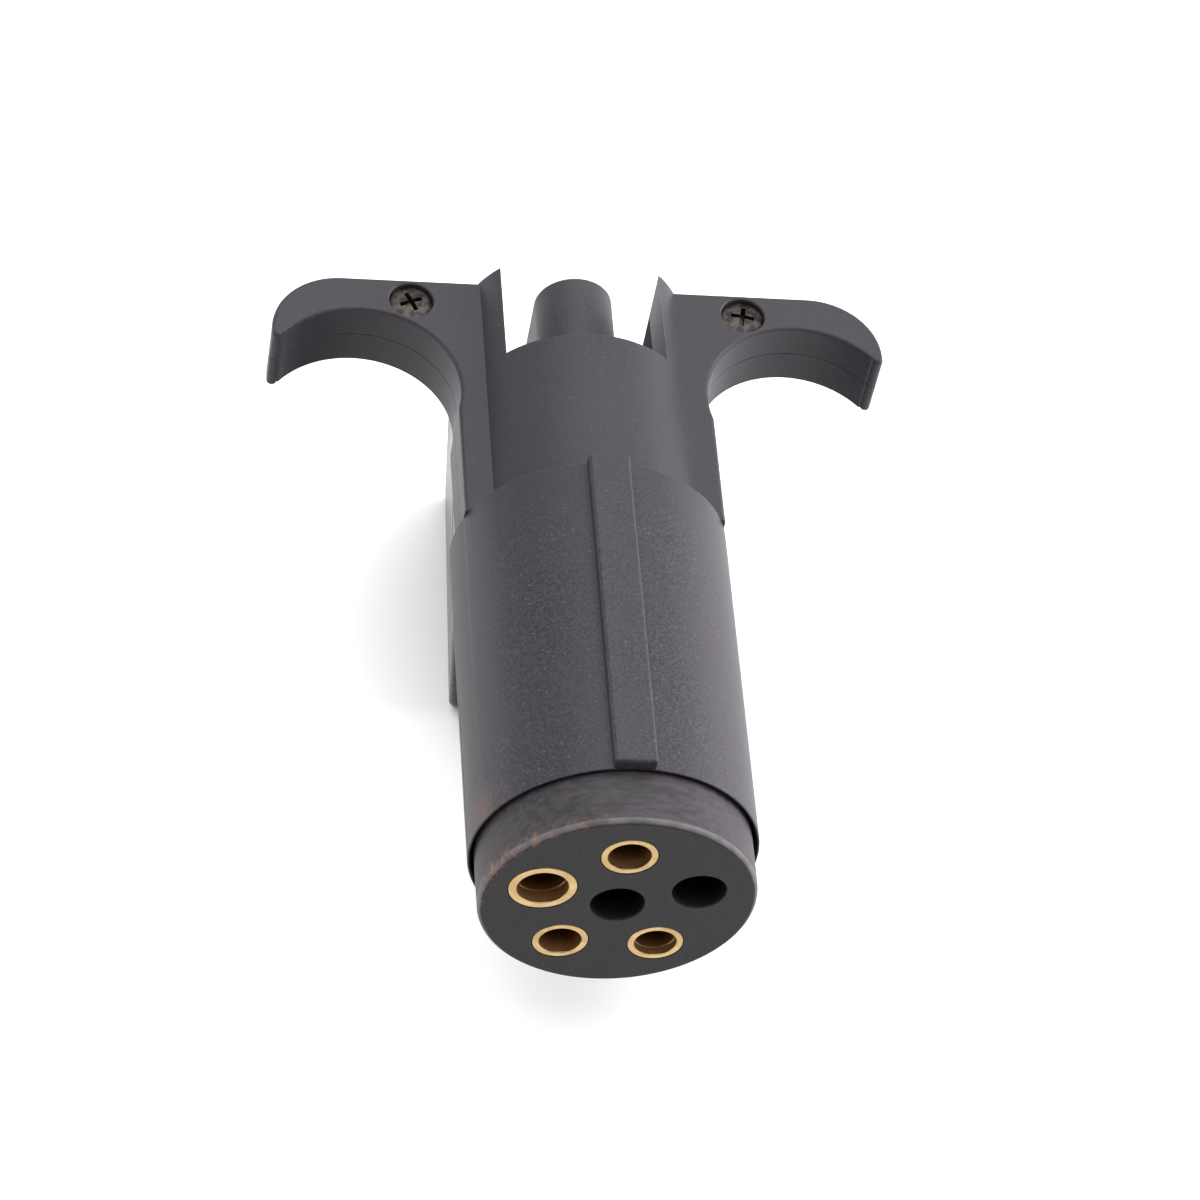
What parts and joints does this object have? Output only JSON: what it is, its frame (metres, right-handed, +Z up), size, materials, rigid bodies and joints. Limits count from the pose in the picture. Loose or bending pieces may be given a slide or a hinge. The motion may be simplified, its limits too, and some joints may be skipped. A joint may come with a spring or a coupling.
{
  "type": "trailer wiring adapter",
  "caption": "Round plug with brass sockets that adapts a vehicle trailer socket to a flat trailer outlet, with finger hooks for pulling it out.",
  "frame": {"origin": "on the underside of the lower housing, below the middle of the overall length and on the plane of left-right symmetry", "axes": "+Y from the round plug to the flat outlet along the barrel, +Z up towards the key rib, +X to the right when looking along +Y"},
  "size_m": [0.078, 0.0936, 0.0536],
  "materials": {
    "housing": "satin, fine moulded grain",
    "carrier": "matte",
    "brass": "bright machined",
    "screw_steel": "brown oxide",
    "outlet": "satin",
    "shrink_tube": "satin",
    "wire_green": "satin insulation",
    "wire_yellow": "satin insulation",
    "wire_brown": "satin insulation",
    "wire_white": "satin insulation"
  },
  "bodies": {
    "root": {"upper_housing": "housing", "lower_housing": "housing", "contact_carrier": "carrier", "carrier_lock_plate": "carrier", "socket_right_turn": "brass", "socket_left_turn": "brass", "socket_tail": "brass", "socket_ground": "brass", "shrink_right_turn": "shrink_tube", "shrink_left_turn": "shrink_tube", "shrink_tail": "shrink_tube", "shrink_ground": "shrink_tube", "wire_right_turn": "wire_green", "wire_left_turn": "wire_yellow", "wire_tail": "wire_brown", "wire_ground": "wire_white", "outlet_block": "outlet", "outlet_socket_right_turn": "brass", "outlet_socket_left_turn": "brass", "outlet_socket_tail": "brass", "outlet_pin_ground": "brass", "screw_left": "screw_steel", "screw_right": "screw_steel"}
  },
  "joints": []
}
